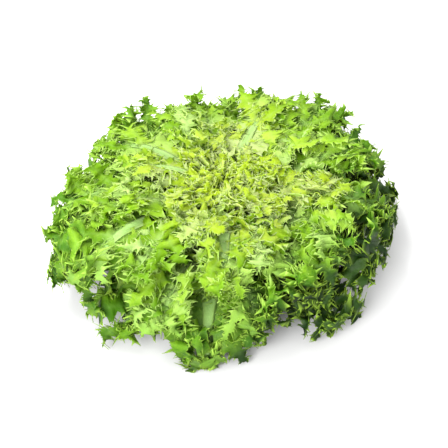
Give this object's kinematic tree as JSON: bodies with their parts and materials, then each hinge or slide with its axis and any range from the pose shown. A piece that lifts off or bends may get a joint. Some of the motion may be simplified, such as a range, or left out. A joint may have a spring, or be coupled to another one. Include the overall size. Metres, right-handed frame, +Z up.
{
  "type": "curly endive head",
  "caption": "Head of curly endive standing on its cut stem, with spiral layers of lobed, toothed leaves round a pale heart.",
  "frame": {"origin": "centre of the stem's flat cut face, which the head stands on", "axes": "+Z up along the stem; -Y is the side that faces the viewer in the picture"},
  "size_m": [0.3106, 0.2789, 0.1117],
  "materials": {
    "crown": "matte",
    "heart_leaf": "satin",
    "inner_leaf": "satin",
    "middle_leaf": "satin",
    "outer_leaf": "satin"
  },
  "bodies": {
    "root": {"heart_tuft": "heart_leaf", "inner_leaf_31": "inner_leaf", "inner_leaf_32": "inner_leaf", "inner_leaf_33": "inner_leaf", "inner_leaf_34": "inner_leaf", "inner_leaf_35": "inner_leaf", "inner_leaf_36": "inner_leaf", "inner_leaf_37": "inner_leaf", "inner_leaf_38": "inner_leaf", "inner_leaf_39": "inner_leaf", "inner_leaf_40": "inner_leaf", "inner_leaf_41": "inner_leaf", "inner_leaf_42": "inner_leaf", "inner_leaf_43": "inner_leaf", "inner_leaf_44": "inner_leaf", "inner_leaf_45": "inner_leaf", "inner_leaf_46": "inner_leaf", "middle_leaf_16": "middle_leaf", "middle_leaf_17": "middle_leaf", "middle_leaf_18": "middle_leaf", "middle_leaf_19": "middle_leaf", "middle_leaf_20": "middle_leaf", "middle_leaf_21": "middle_leaf", "middle_leaf_22": "middle_leaf", "middle_leaf_23": "middle_leaf", "middle_leaf_24": "middle_leaf", "middle_leaf_25": "middle_leaf", "middle_leaf_26": "middle_leaf", "middle_leaf_27": "middle_leaf", "middle_leaf_28": "middle_leaf", "middle_leaf_29": "middle_leaf", "middle_leaf_30": "middle_leaf", "outer_leaf_01": "outer_leaf", "outer_leaf_02": "outer_leaf", "outer_leaf_03": "outer_leaf", "outer_leaf_04": "outer_leaf", "outer_leaf_05": "outer_leaf", "outer_leaf_06": "outer_leaf", "outer_leaf_07": "outer_leaf", "outer_leaf_08": "outer_leaf", "outer_leaf_09": "outer_leaf", "outer_leaf_10": "outer_leaf", "outer_leaf_11": "outer_leaf", "outer_leaf_12": "outer_leaf", "outer_leaf_13": "outer_leaf", "outer_leaf_14": "outer_leaf", "outer_leaf_15": "outer_leaf", "stem_crown": "crown"}
  },
  "joints": []
}
